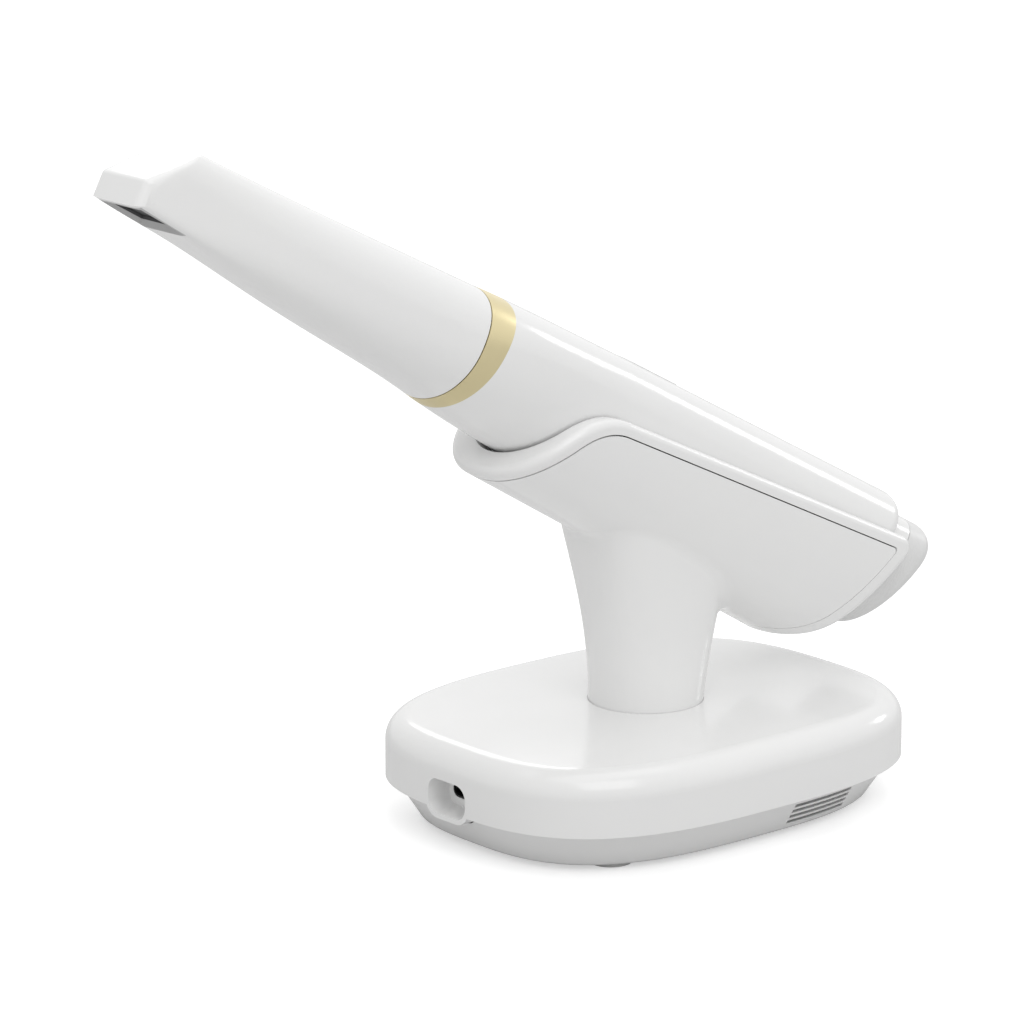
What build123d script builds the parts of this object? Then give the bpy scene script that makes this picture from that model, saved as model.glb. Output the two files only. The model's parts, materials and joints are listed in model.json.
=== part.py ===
from build123d import *
import os
from math import copysign, cos, hypot, pi, sin

# Intraoral scanner lying in the cradle of its stand.
# Millimetres, +Z up. The origin is on the table under the centre of the base, and the tip points to -X.
# The scanner and the cradle are drawn in the scanner's own frame: X runs to the rear along the axis from
# the front of the trim ring, and Z points out of the top of the handle.

# Place and tilt of the scanner over the base
SCAN_X = -63.75
SCAN_Z = 124.54
SCAN_TILT = 28.3

# Drawing aids: points on each rounded outline, reach of the cutting blocks, overrun of trimmed forms
OVAL_POINTS = 32
FAR = 80.0
OVERRUN = 20.0
MERGE = 0.5

# Scanner body: half width, top and bottom at each station along the axis
RING_HALF_WIDTH = 16.4
RING_TOP = 13.5
RING_BOTTOM = 15.2
BELLY_X = 16.0
BELLY_HALF_WIDTH = 17.0
BELLY_TOP = 14.0
BELLY_BOTTOM = 17.0
WAIST_X = 31.0
WAIST_HALF_WIDTH = 16.1
WAIST_TOP = 14.2
WAIST_BOTTOM = 18.1
GRIP_X = 50.0
GRIP_HALF_WIDTH = 15.2
GRIP_TOP = 14.4
GRIP_BOTTOM = 18.9
BODY_LENGTH = 154.0
REAR_X = BODY_LENGTH + OVERRUN
REAR_HALF_WIDTH = 15.5
REAR_TOP = 14.4
REAR_BOTTOM = 23.0
TOP_POWER = 2.6
BOTTOM_POWER = 2.0
BODY_WALL = 2.0
BODY_END_ROUND = 4.0
END_LEAN = 0.45

# Trim ring
RING_BOTTOM_WIDTH = 4.3
RING_TOP_WIDTH = 8.0

# Battery sleeve and battery at the rear
SLEEVE_SHOW = 5.4
CAP_SHOW = 11.4
CAP_DROP = 3.7
CAP_ROUND = 4.0
CAP_GAP = 0.3
SLEEVE_GAP = 0.3
SLEEVE_WALL = 1.4
BATTERY_GAP = 0.4
CONTACT_COUNT = 4
CONTACT_PITCH = 4.0
CONTACT_SIZE = 2.0
CONTACT_PROUD = 1.2
SLEEVE_FRONT = 100.0
SLEEVE_INSET = BODY_WALL + 2 * SLEEVE_GAP
SEAM_X = BODY_LENGTH + SLEEVE_SHOW
CAP_X = SEAM_X + CAP_SHOW
BAY_FRONT = SLEEVE_FRONT + SLEEVE_WALL
CELL_FRONT = BAY_FRONT + CONTACT_PROUD + BATTERY_GAP

# Scan tip
TIP_LENGTH = 99.2
TIP_WALL = 1.5
TIP_SEAM = 0.3
NECK_X = 30.0
NECK_HALF_WIDTH = 13.9
NECK_TOP = 12.8
NECK_BOTTOM = 12.2
NECK_POWER = 2.5
SHANK_X = 60.0
SHANK_HALF_WIDTH = 11.4
SHANK_TOP = 12.1
SHANK_BOTTOM = 9.3
SHANK_POWER = 3.0
HEAD_X = 82.0
HEAD_HALF_WIDTH = 9.7
HEAD_TOP = 11.8
HEAD_BOTTOM = 6.6
HEAD_POWER = 4.0
HEAD_BOTTOM_POWER = 7.0
NOSE_HALF_WIDTH = 9.3
NOSE_BOTTOM = 5.3
NOSE_CORNER = 2.0
NOSE_TOP = 0.8
SLANT_LENGTH = 12.0
SLANT_RISE = 10.6
HEAD_ROUND = 1.2
FRONT_WALL = 1.4
WINDOW_FRONT = 1.2
WINDOW_LENGTH = 14.1
WINDOW_HALF_WIDTH = 8.4
WINDOW_CHAMFER = 1.8
WINDOW_DEPTH = 1.0
LINER_THICKNESS = 0.5
LINER_GAP = 0.1
MIRROR_THICKNESS = 1.2
MIRROR_HALF_WIDTH = 5.4
MIRROR_MARGIN = 2.8
SLANT = hypot(SLANT_LENGTH, SLANT_RISE)

# Optics in the handle
COLLAR_GAP = 0.1
NOSE_INSET = BODY_WALL + COLLAR_GAP
NOSE_TUBE_LENGTH = 54.0
NOSE_TUBE_WALL = 1.5
GLASS_THICKNESS = 1.5
GLASS_SETBACK = 1.0
BULKHEAD_X = 12.0
BULKHEAD_THICKNESS = 3.0
BENCH_X = BULKHEAD_X + BULKHEAD_THICKNESS
BENCH_FLOOR = -7.0
BENCH_THICKNESS = 2.0
BENCH_HALF_WIDTH = 9.0
RIB_X = 46.0
RIB_THICKNESS = 1.6
PROJECTOR_LENGTH = 26.0
PROJECTOR_HALF_WIDTH = 5.0
PROJECTOR_HEIGHT = 12.0
PROJECTOR_LENS_RADIUS = 4.0
LENS_SHOW = 5.0
LENS_GAP = 0.1
CAMERA_Y = 8.6
CAMERA_LENGTH = 14.0
CAMERA_HALF_WIDTH = 2.8
CAMERA_HEIGHT = 8.0
CAMERA_LENS_RADIUS = 2.0

# Electronics in the handle
BOARD_THICKNESS = 1.6
BOARD_BOTTOM = 7.0
BOARD_TOP = BOARD_BOTTOM + BOARD_THICKNESS
BOARD_HALF_WIDTH = 9.4
BOARD_SETBACK = 4.0
BOARD_END = SLEEVE_FRONT - BOARD_SETBACK
BENCH_END = BOARD_END - BOARD_SETBACK
BENCH_SCREW_Y = 7.0
BENCH_SCREW_INSET = 4.0
BENCH_BOSS_RADIUS = 2.0
CHIP_X = 72.0
CHIP_SIZE = 12.0
CHIP_THICKNESS = 1.4
SPREADER_LENGTH = 26.0
SPREADER_HALF_WIDTH = 5.0
SPREADER_THICKNESS = 1.5
BUTTON_X = 62.0
BUTTON_LENGTH = 22.0
BUTTON_WIDTH = 9.0
BUTTON_GAP = 0.35
BUTTON_PROUD = 0.7
BUTTON_FLANGE = 0.9
BUTTON_FLANGE_THICKNESS = 0.8
BUTTON_FLANGE_DROP = 1.0
BUTTON_FLANGE_TOP = GRIP_TOP - BODY_WALL - BUTTON_FLANGE_DROP
NUB_RADIUS = 1.5
SWITCH_SIZE = 5.0
SWITCH_HEIGHT = 1.1
SWITCH_GAP = 0.5
LIGHT_X = 86.0
LIGHT_LENGTH = 11.0
LIGHT_WIDTH = 2.6
LIGHT_GAP = 0.1

# Base covers
BASE_HALF_LENGTH = 62.0
BASE_HALF_WIDTH = 47.5
BASE_POWER = 2.94
BASE_TOP = 26.6
BASE_CROWN_RADIUS = 1800.0
BASE_SHOULDER = 6.3
BASE_SPLIT = 10.5
BASE_WALL = 2.4
LOWER_STEP = 2.0
LOWER_TAPER = 5.6
LOWER_EDGE = 1.5
LIP_HEIGHT = 3.0
LIP_GAP = 0.25

# Feet
FOOT_X = 35.5
FOOT_Y = 28.0
FOOT_RADIUS = 5.2
FOOT_GAP = 0.1
FOOT_PROUD = 1.2
FOOT_SINK = 1.0
FLOOR = FOOT_PROUD + BASE_WALL

# Vents in the lower cover
VENT_COUNT = 4
VENT_X = 18.3
VENT_LENGTH = 20.0
VENT_WIDTH = 0.9
VENT_PITCH = 1.55
VENT_LOWEST = 3.5
VENT_REACH = 10.5

# Power inlet
INLET_Z = 13.6
INLET_WIDTH = 13.6
INLET_HEIGHT = 8.4
INLET_CORNER = 3.4
INLET_DEPTH = 6.0
INLET_TAPER = 1.6
INLET_WALL = 1.2
INLET_GAP = 0.25
SOCKET_WIDTH = 8.4
SOCKET_HEIGHT = 2.8
SOCKET_RISE = 0.4
SOCKET_SHELL = 0.35
SOCKET_GAP = 0.1
SOCKET_DEPTH = 8.0
TONGUE_WIDTH = 6.6
TONGUE_THICKNESS = 0.8
TONGUE_SETBACK = 1.0
JACK_LENGTH = 11.0
JACK_WIDTH = 10.0
JACK_HEIGHT = 8.0
JACK_X = INLET_DEPTH + INLET_WALL - BASE_HALF_LENGTH

# Column: z, half length, half width, roundness and forward shift at each station
COLUMN_RADIUS = 13.9
COLUMN_SEAT = 0.4
COLUMN_SEAT_GAP = 0.15
COLUMN_Z = BASE_TOP - COLUMN_SEAT
COLUMN_WAIST = (40.0, 15.5, 13.7, 2.2, 0.9)
COLUMN_RISE = (55.0, 18.3, 14.0, 2.6, 1.3)
COLUMN_FLARE = (71.0, 21.7, 14.5, 3.2, 1.0)
COLUMN_HEAD = (86.0, 24.5, 15.0, 3.2, 0.4)
COLUMN_WALL = 3.0
COLUMN_PLUG = 12.0
COLUMN_CUT = -14.0
COLUMN_BLEND = 5.0

# Cradle, in the scanner's frame
CRADLE_FRONT = 37.8
CRADLE_REAR = 151.0
CRADLE_HALF_WIDTH = 20.6
CRADLE_DEPTH_FRONT = 25.9
CRADLE_DEPTH_REAR = 30.9
CRADLE_POWER = 2.25
CRADLE_HEEL = 17.0
CRADLE_UNDER = 1.0
FRONT_LEAN = 0.61
RIM_FRONT = -1.3
RIM_REAR = 4.5
RIM_CORNER = 18.0
RIM_REAR_CORNER = 3.0
SEAM_REAR_CORNER = 1.0
RIM_ROUND = 1.8
BAND_FRONT = 2.6
BAND_RIM = 3.6
BAND_REAR = 6.4
SEAM_GAP = 0.3
PANEL_WALL = 1.6
TRAY_WALL = 1.9
TRAY_GAP = 0.4
LIP_FLARE = 0.8
LIP_SIDE = 0.6
TROUGH_TOP = 40.0
TRAY_SCREW_X = (62.0, 112.0)
TRAY_SCREW_SUNK = 0.3
TRAY_BOSS_RADIUS = 4.2
TRAY_BOSS_FLOOR = 2.0
TRAY_SCREW_LENGTH = 4.0

# Fasteners
SCREW_RADIUS = 1.5
SCREW_HEAD_RADIUS = 2.8
SCREW_HEAD = 1.8
SMALL_SCREW_RADIUS = 0.8
SMALL_HEAD_RADIUS = 1.6
SMALL_HEAD = 0.9
SMALL_SCREW_LENGTH = 5.0
SCREW_GAP = 0.1
HEAD_GAP = 0.3

# Inside the base
BALLAST_THICKNESS = 2.0
BALLAST_LENGTH = 74.0
BALLAST_WIDTH = 50.0
BALLAST_CORNER = 6.0
BALLAST_GAP = 0.4
BASE_BOARD_TOP = INLET_Z - JACK_HEIGHT / 2
BASE_BOARD_Z = BASE_BOARD_TOP - BOARD_THICKNESS
BASE_BOARD_LENGTH = 74.0
BASE_BOARD_WIDTH = 54.0
BASE_BOARD_HOLE_X = 33.0
BASE_BOARD_HOLE_Y = 20.0
TONGUE_GAP = 0.4
STANDOFF_RADIUS = 3.0
BASE_SCREW_X = 44.0
BASE_SCREW_Y = 16.0
BASE_SCREW_SINK = 1.4
BASE_SCREW_LENGTH = 16.0
BASE_SCREW_SEAT = FOOT_PROUD + BASE_SCREW_SINK + SCREW_HEAD
BOSS_RADIUS = 4.0
BOSS_GAP = 0.2
COLUMN_SCREW_RING = 8.0
COLUMN_SCREW_COUNT = 3
COLUMN_SCREW_LENGTH = 12.0
SEAT_PLATE_RADIUS = 17.0
SEAT_PLATE_THICKNESS = 3.0
SEAT_PLATE_Z = BASE_TOP - BASE_WALL - SEAT_PLATE_THICKNESS
RECEIVER_X = 7.0
RECEIVER_Y = 8.0
RECEIVER_LENGTH = 26.0
RECEIVER_WIDTH = 20.0
RECEIVER_HEIGHT = 3.2
INDUCTOR_X = -24.0
INDUCTOR_Y = -10.0
INDUCTOR_SIZE = 11.0
INDUCTOR_HEIGHT = 5.5
INDUCTOR_CORNER = 2.5
CAPACITOR_RADIUS = 3.1
CAPACITOR_HEIGHT = 8.0
CAPACITOR_PITCH = 7.5
CAPACITOR_X = -25.0
CAPACITOR_Y = 10.0
CAPACITOR_COUNT = 3
SINK_Y = -19.0
SINK_LENGTH = 20.0
SINK_WIDTH = 12.0
SINK_BASE = 2.0
SINK_HEIGHT = 8.0
FIN_COUNT = 5
FIN_THICKNESS = 1.2

UPRIGHT = (Align.CENTER, Align.CENTER, Align.MIN)
FROM_FRONT = (Align.MIN, Align.CENTER, Align.MIN)
CORNERS = ((1, 1), (1, -1), (-1, 1), (-1, -1))


def oval(half_width, top, bottom, top_power, bottom_power):
    """Closed rounded outline with its own height above and below the widest line."""
    points = []
    for i in range(OVAL_POINTS):
        c = cos(2 * pi * i / OVAL_POINTS)
        s = sin(2 * pi * i / OVAL_POINTS)
        height = top if s >= 0 else bottom
        power = top_power if s >= 0 else bottom_power
        y = half_width * copysign(abs(c) ** (2 / power), c)
        z = height * copysign(abs(s) ** (2 / power), s)
        points.append((y, z))
    return make_face(Spline(*points, periodic=True))


def across(x, face):
    """Place a drawn outline across the X axis."""
    return Plane(origin=(x, 0, 0), x_dir=(0, 1, 0), z_dir=(1, 0, 0)) * face


def side_prism(points, radii=0):
    """Side outline given as (x, z), with its corner radii, run across the part."""
    outline = make_face(FilletPolyline(*points, radius=radii, close=True))
    return extrude(Plane.XZ * outline, FAR, both=True)


def bar(x0, x1, half_width, z0, z1, y=0.0):
    """Box from x0 to x1 and z0 to z1, centred on y."""
    return Pos(x0, y, z0) * Box(x1 - x0, 2 * half_width, z1 - z0, align=FROM_FRONT)


def rod(radius, z0, z1, x=0.0, y=0.0):
    """Upright cylinder from z0 to z1."""
    return Pos(x, y, z0) * Cylinder(radius, z1 - z0, align=UPRIGHT)


def rod_x(radius, x0, x1, y, z):
    """Cylinder along X from x0 to x1."""
    return Pos(x0, y, z) * Rot(0, 90, 0) * Cylinder(radius, x1 - x0, align=UPRIGHT)


def behind(x):
    """Everything behind a plane square to the X axis."""
    return bar(x, x + 4 * FAR, FAR, -FAR, FAR)


def behind_lean(x_top):
    """Everything behind the leaning plane that meets the top line of the handle at x_top."""
    high = x_top + END_LEAN * (FAR - REAR_TOP)
    low = x_top - END_LEAN * (FAR + REAR_TOP)
    return side_prism([(high, FAR), (low, -FAR), (x_top + 2 * FAR, -FAR), (x_top + 2 * FAR, FAR)])


def behind_ring():
    """Everything behind the tilted rear edge of the trim ring."""
    slope = (RING_TOP_WIDTH - RING_BOTTOM_WIDTH) / (RING_TOP + RING_BOTTOM)
    high = RING_TOP_WIDTH + slope * (FAR - RING_TOP)
    low = RING_BOTTOM_WIDTH - slope * (FAR - RING_BOTTOM)
    return side_prism([(high, FAR), (low, -FAR), (4 * FAR, -FAR), (4 * FAR, FAR)])


def screw(radius, head_radius, head, length):
    """Screw standing on Z: head below the XY plane, shank above it."""
    return rod(radius, 0, length) + rod(head_radius, -head, 0)


def in_place(solid):
    """Move a solid from the scanner's frame to the shared frame."""
    return Pos(SCAN_X, 0, SCAN_Z) * Rot(0, SCAN_TILT, 0) * solid


def grip_at(x):
    """Half width and bottom of the straight grip."""
    share = (x - GRIP_X) / (REAR_X - GRIP_X)
    half_width = GRIP_HALF_WIDTH + share * (REAR_HALF_WIDTH - GRIP_HALF_WIDTH)
    bottom = GRIP_BOTTOM + share * (REAR_BOTTOM - GRIP_BOTTOM)
    return half_width, bottom


def front_and_grip(sections):
    """Curved front through all the sections but the last, then a straight grip to the last."""
    return loft(sections[:-1]) + loft(sections[-2:])


def body_form(grow):
    """Outside of the handle, grown by a distance."""
    stations = (
        (0.0, RING_HALF_WIDTH, RING_TOP, RING_BOTTOM),
        (BELLY_X, BELLY_HALF_WIDTH, BELLY_TOP, BELLY_BOTTOM),
        (WAIST_X, WAIST_HALF_WIDTH, WAIST_TOP, WAIST_BOTTOM),
        (GRIP_X, GRIP_HALF_WIDTH, GRIP_TOP, GRIP_BOTTOM),
        (REAR_X, REAR_HALF_WIDTH, REAR_TOP, REAR_BOTTOM),
    )
    sections = []
    for x, half_width, top, bottom in stations:
        face = oval(half_width + grow, top + grow, bottom + grow, TOP_POWER, BOTTOM_POWER)
        sections.append(across(x, face))
    return front_and_grip(sections)


def sleeve_form(grow):
    """Outside of the battery sleeve and cap, grown by a distance."""
    size = grow - SLEEVE_INSET
    top = REAR_TOP - CAP_DROP + grow
    sections = []
    for x in (SLEEVE_FRONT, REAR_X):
        half_width, bottom = grip_at(x)
        face = oval(half_width + size, top, bottom + size, TOP_POWER, BOTTOM_POWER)
        sections.append(across(x, face))
    return loft(sections)


def tip_form(inset):
    """Outside of the scan tip before its nose is trimmed, drawn in by a distance."""
    stations = (
        (0.0, RING_HALF_WIDTH, RING_TOP, RING_BOTTOM, TOP_POWER, BOTTOM_POWER),
        (NECK_X, NECK_HALF_WIDTH, NECK_TOP, NECK_BOTTOM, NECK_POWER, NECK_POWER),
        (SHANK_X, SHANK_HALF_WIDTH, SHANK_TOP, SHANK_BOTTOM, SHANK_POWER, SHANK_POWER),
        (HEAD_X, HEAD_HALF_WIDTH, HEAD_TOP, HEAD_BOTTOM, HEAD_POWER, HEAD_BOTTOM_POWER),
        (TIP_LENGTH + MERGE, NOSE_HALF_WIDTH, HEAD_TOP, NOSE_BOTTOM, HEAD_POWER, HEAD_BOTTOM_POWER),
    )
    sections = []
    for x, half_width, top, bottom, top_power, bottom_power in stations:
        face = oval(half_width - inset, top - inset, bottom - inset, top_power, bottom_power)
        sections.append(across(-x, face))
    return loft(sections)


def slant_point(along, depth):
    """Point on the slanted nose: along it from its front edge, at a depth under it."""
    x = along * SLANT_LENGTH + depth * SLANT_RISE
    z = along * SLANT_RISE - depth * SLANT_LENGTH
    return (x / SLANT - TIP_LENGTH, z / SLANT + NOSE_TOP)


def slant_space(depth):
    """Everything above the slanted nose, started at a depth under it."""
    return side_prism([
        slant_point(-FAR, depth),
        slant_point(FAR, depth),
        slant_point(FAR, depth - FAR),
        slant_point(-FAR, depth - FAR),
    ])


def nose_plan():
    """Plan outline of the tip with its rounded nose corners, run upright."""
    wide = RING_HALF_WIDTH + MERGE
    points = [(-TIP_LENGTH, -NOSE_HALF_WIDTH), (-TIP_LENGTH, NOSE_HALF_WIDTH), (0, wide), (0, -wide)]
    outline = make_face(FilletPolyline(*points, radius=[NOSE_CORNER, NOSE_CORNER, 0, 0], close=True))
    return extrude(outline, FAR, both=True)


def window_funnel():
    """Tapered opening under the nose."""
    front = WINDOW_FRONT - TIP_LENGTH
    middle = front + WINDOW_LENGTH / 2
    taper = 2 * WINDOW_CHAMFER
    wide = Rectangle(WINDOW_LENGTH, 2 * WINDOW_HALF_WIDTH)
    narrow = Rectangle(WINDOW_LENGTH - taper, 2 * WINDOW_HALF_WIDTH - taper)
    low = Pos(middle, 0, -HEAD_BOTTOM) * wide
    high = Pos(middle, 0, WINDOW_DEPTH - NOSE_BOTTOM) * narrow
    funnel = loft([low, high])
    return funnel + extrude(high, MERGE) + extrude(low, -FAR)


def scan_tip():
    """Hollow slip-on tip with a slanted nose and the window under it."""
    nose = -TIP_LENGTH
    outer = (tip_form(0) & behind(nose)) - slant_space(0) - behind(-TIP_SEAM)
    outer &= nose_plan()
    slant = outer.faces().filter_by(GeomType.PLANE).sort_by(Axis.X)[1]
    outer = fillet(slant.edges(), HEAD_ROUND)
    space = (tip_form(TIP_WALL) & behind(nose + FRONT_WALL)) - slant_space(TIP_WALL)
    frame_end = nose + WINDOW_FRONT + WINDOW_LENGTH + FRONT_WALL
    frame = bar(nose, frame_end, HEAD_HALF_WIDTH, -HEAD_BOTTOM, WINDOW_DEPTH - NOSE_BOTTOM)
    return outer - (space - frame) - window_funnel()


def tip_liner():
    """Thin dark liner in front of the optical tube, above the window's frame."""
    space = tip_form(TIP_WALL + LINER_GAP) - tip_form(TIP_WALL + LINER_GAP + LINER_THICKNESS)
    space &= behind(FRONT_WALL + LINER_GAP - TIP_LENGTH)
    space -= behind(-NOSE_TUBE_LENGTH - GLASS_SETBACK)
    space -= slant_space(TIP_WALL + LINER_GAP)
    frame_end = WINDOW_FRONT + WINDOW_LENGTH + FRONT_WALL + LINER_GAP - TIP_LENGTH
    frame_top = WINDOW_DEPTH + LINER_GAP - NOSE_BOTTOM
    return space - bar(-TIP_LENGTH, frame_end, HEAD_HALF_WIDTH, -HEAD_BOTTOM, frame_top)


def tip_mirror():
    """Mirror plate on the inner side of the slanted nose."""
    near = TIP_WALL
    deep = TIP_WALL + MIRROR_THICKNESS
    start = MIRROR_MARGIN
    stop = SLANT - MIRROR_MARGIN
    plate = side_prism([
        slant_point(start, near),
        slant_point(stop, near),
        slant_point(stop, deep),
        slant_point(start, deep),
    ])
    return plate & bar(-TIP_LENGTH, 0, MIRROR_HALF_WIDTH, -HEAD_BOTTOM, HEAD_TOP)


def trim_ring():
    """Gold ring between the tip and the handle."""
    return body_form(0) - body_form(-BODY_WALL) - behind_ring()


def button_slot(grow):
    """Upright obround block at the scan button."""
    slot = SlotOverall(BUTTON_LENGTH + 2 * grow, BUTTON_WIDTH + 2 * grow)
    return extrude(Pos(BUTTON_X, 0, 0) * slot, FAR)


def light_slot(grow):
    """Upright obround block at the status light."""
    slot = SlotOverall(LIGHT_LENGTH + 2 * grow, LIGHT_WIDTH + 2 * grow)
    return extrude(Pos(LIGHT_X, 0, 0) * slot, FAR)


def handle_housing():
    """Tubular housing of the handle, open at the front and around the battery sleeve."""
    outer = body_form(0) - behind_lean(BODY_LENGTH)
    outer = fillet(outer.faces().sort_by(Axis.X)[-1].edges(), BODY_END_ROUND)
    space = body_form(-BODY_WALL) - behind_lean(BODY_LENGTH - BODY_WALL)
    shell = (outer - space) & behind_ring()
    shell -= sleeve_form(SLEEVE_GAP)
    return shell - button_slot(BUTTON_GAP) - light_slot(LIGHT_GAP)


def battery_sleeve():
    """Sleeve for the battery, closed in front."""
    bay = sleeve_form(-SLEEVE_WALL) & behind(BAY_FRONT)
    return sleeve_form(0) - behind_lean(SEAM_X) - bay


def battery_contacts():
    """Row of contact pads on the front wall of the battery bay."""
    pads = []
    for i in range(CONTACT_COUNT):
        y = (i - (CONTACT_COUNT - 1) / 2) * CONTACT_PITCH
        half = CONTACT_SIZE / 2
        pads.append(bar(BAY_FRONT, BAY_FRONT + CONTACT_PROUD, half, -half, half, y))
    return Compound(children=pads)


def battery_cap():
    """Rounded end piece of the battery."""
    cap = sleeve_form(0) - behind_lean(CAP_X)
    cap = fillet(cap.faces().sort_by(Axis.X)[-1].edges(), CAP_ROUND)
    return cap & behind_lean(SEAM_X + CAP_GAP)


def battery_cell():
    """Battery block fixed to the end piece."""
    block = sleeve_form(-SLEEVE_WALL - BATTERY_GAP) & behind(CELL_FRONT)
    return block - behind_lean(SEAM_X + CAP_GAP)


def optical_nose():
    """Tube that carries the tip, with a collar inside the ring and the housing."""
    inner = NOSE_INSET + NOSE_TUBE_WALL
    tube = (tip_form(NOSE_INSET) - tip_form(inner)) & behind(-NOSE_TUBE_LENGTH)
    collar = body_form(-NOSE_INSET) - body_form(-inner) - behind(BENCH_X)
    return tube + collar


def nose_window():
    """Glass plate in the front of the optical tube."""
    front = GLASS_SETBACK - NOSE_TUBE_LENGTH
    plate = tip_form(NOSE_INSET + NOSE_TUBE_WALL + LENS_GAP) & behind(front)
    return plate - behind(front + GLASS_THICKNESS)


def lens_rods(grow):
    """Cylinders of the projector lens and the two camera lenses."""
    front = BULKHEAD_X - LENS_SHOW
    z = BENCH_FLOOR + CAMERA_HEIGHT / 2
    projector_z = BENCH_FLOOR + PROJECTOR_HEIGHT / 2
    return [
        rod_x(PROJECTOR_LENS_RADIUS + grow, front, BENCH_X, 0, projector_z),
        rod_x(CAMERA_LENS_RADIUS + grow, front, BENCH_X, -CAMERA_Y, z),
        rod_x(CAMERA_LENS_RADIUS + grow, front, BENCH_X, CAMERA_Y, z),
    ]


def projector_module():
    """Pattern projector behind the bulkhead."""
    top = BENCH_FLOOR + PROJECTOR_HEIGHT
    return bar(BENCH_X, BENCH_X + PROJECTOR_LENGTH, PROJECTOR_HALF_WIDTH, BENCH_FLOOR, top)


def camera_block(y):
    """One camera behind the bulkhead."""
    top = BENCH_FLOOR + CAMERA_HEIGHT
    return bar(BENCH_X, BENCH_X + CAMERA_LENGTH, CAMERA_HALF_WIDTH, BENCH_FLOOR, top, y)


def bench_screw_places():
    """Points where the main board is screwed down."""
    front = RIB_X + BENCH_SCREW_INSET
    rear = BENCH_END - BENCH_SCREW_INSET
    return [(x, y) for x in (front, rear) for y in (-BENCH_SCREW_Y, BENCH_SCREW_Y)]


def optical_bench():
    """Bulkhead with the lens holes, floor for the optics and ribs under the main board."""
    bulkhead = body_form(-NOSE_INSET - NOSE_TUBE_WALL - COLLAR_GAP) & behind(BULKHEAD_X)
    bench = bulkhead - behind(BENCH_X)
    for lens in lens_rods(LENS_GAP):
        bench -= lens
    bench += bar(BENCH_X, BENCH_END, BENCH_HALF_WIDTH, BENCH_FLOOR - BENCH_THICKNESS, BENCH_FLOOR)
    rib_y = BENCH_HALF_WIDTH - RIB_THICKNESS / 2
    for y in (-rib_y, rib_y):
        bench += bar(RIB_X, BENCH_END, RIB_THICKNESS / 2, BENCH_FLOOR, BOARD_BOTTOM, y)
    for x, y in bench_screw_places():
        bench += rod(BENCH_BOSS_RADIUS, BENCH_FLOOR, BOARD_BOTTOM, x, y)
        bench -= rod(SMALL_SCREW_RADIUS + SCREW_GAP, BENCH_FLOOR, BOARD_BOTTOM, x, y)
    return bench


def main_circuit_board():
    """Main board on the ribs of the bench."""
    board = bar(RIB_X, BOARD_END, BOARD_HALF_WIDTH, BOARD_BOTTOM, BOARD_TOP)
    for x, y in bench_screw_places():
        board -= rod(SMALL_SCREW_RADIUS + SCREW_GAP, BOARD_BOTTOM, BOARD_TOP, x, y)
    return board


def bench_screws():
    """Screws of the main board."""
    turned = Rot(180, 0, 0) * screw(SMALL_SCREW_RADIUS, SMALL_HEAD_RADIUS, SMALL_HEAD, SMALL_SCREW_LENGTH)
    return Compound(children=[Pos(x, y, BOARD_TOP) * turned for x, y in bench_screw_places()])


def image_processor():
    """Chip under the main board."""
    half = CHIP_SIZE / 2
    return bar(CHIP_X - half, CHIP_X + half, half, BOARD_BOTTOM - CHIP_THICKNESS, BOARD_BOTTOM)


def heat_spreader():
    """Metal plate under the chip."""
    half = SPREADER_LENGTH / 2
    top = BOARD_BOTTOM - CHIP_THICKNESS
    return bar(CHIP_X - half, CHIP_X + half, SPREADER_HALF_WIDTH, top - SPREADER_THICKNESS, top)


def button_switch():
    """Switch on the main board under the scan button."""
    half = SWITCH_SIZE / 2
    return bar(BUTTON_X - half, BUTTON_X + half, half, BOARD_TOP, BOARD_TOP + SWITCH_HEIGHT)


def scan_button():
    """Button in the top of the handle, kept in by its flange."""
    flange_bottom = BUTTON_FLANGE_TOP - BUTTON_FLANGE_THICKNESS
    cap = button_slot(0) & body_form(BUTTON_PROUD)
    cap -= bar(0, 2 * FAR, FAR, -FAR, flange_bottom)
    flange = SlotOverall(BUTTON_LENGTH + 2 * BUTTON_FLANGE, BUTTON_WIDTH + 2 * BUTTON_FLANGE)
    cap += extrude(Pos(BUTTON_X, 0, flange_bottom) * flange, BUTTON_FLANGE_THICKNESS)
    return cap + rod(NUB_RADIUS, BOARD_TOP + SWITCH_HEIGHT + SWITCH_GAP, BUTTON_FLANGE_TOP, BUTTON_X)


def status_light():
    """Light pipe from the main board to the top of the handle."""
    return (light_slot(0) & body_form(0)) - bar(0, 2 * FAR, FAR, -FAR, BOARD_TOP)


def base_outline(inset, z):
    """Outline of the base, drawn in by a distance."""
    width = BASE_HALF_WIDTH - inset
    return Pos(0, 0, z) * oval(BASE_HALF_LENGTH - inset, width, width, BASE_POWER, BASE_POWER)


def upper_block(inset, bottom):
    """Upper base form: straight wall, rounded shoulder and a slightly crowned top."""
    block = extrude(base_outline(inset, bottom), BASE_TOP)
    block &= Pos(0, 0, BASE_TOP - inset - BASE_CROWN_RADIUS) * Sphere(BASE_CROWN_RADIUS)
    return fillet(block.faces().sort_by(Axis.Z)[-1].edges(), BASE_SHOULDER - inset)


def lower_block(inset, bottom):
    """Lower base form, tapered inward to the table."""
    taper = LOWER_TAPER * (BASE_SPLIT - bottom) / (BASE_SPLIT - FOOT_PROUD)
    low = base_outline(inset + LOWER_STEP + taper, bottom)
    return loft([low, base_outline(inset + LOWER_STEP, BASE_SPLIT)])


def inlet_block(grow, depth):
    """Rounded block at the power inlet, from outside the wall to a depth."""
    outline = RectangleRounded(INLET_WIDTH + 2 * grow, INLET_HEIGHT + 2 * grow, INLET_CORNER + grow)
    placed = Pos(-BASE_HALF_LENGTH - MERGE, 0, INLET_Z) * across(0, outline)
    return extrude(placed, depth + MERGE)


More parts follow.
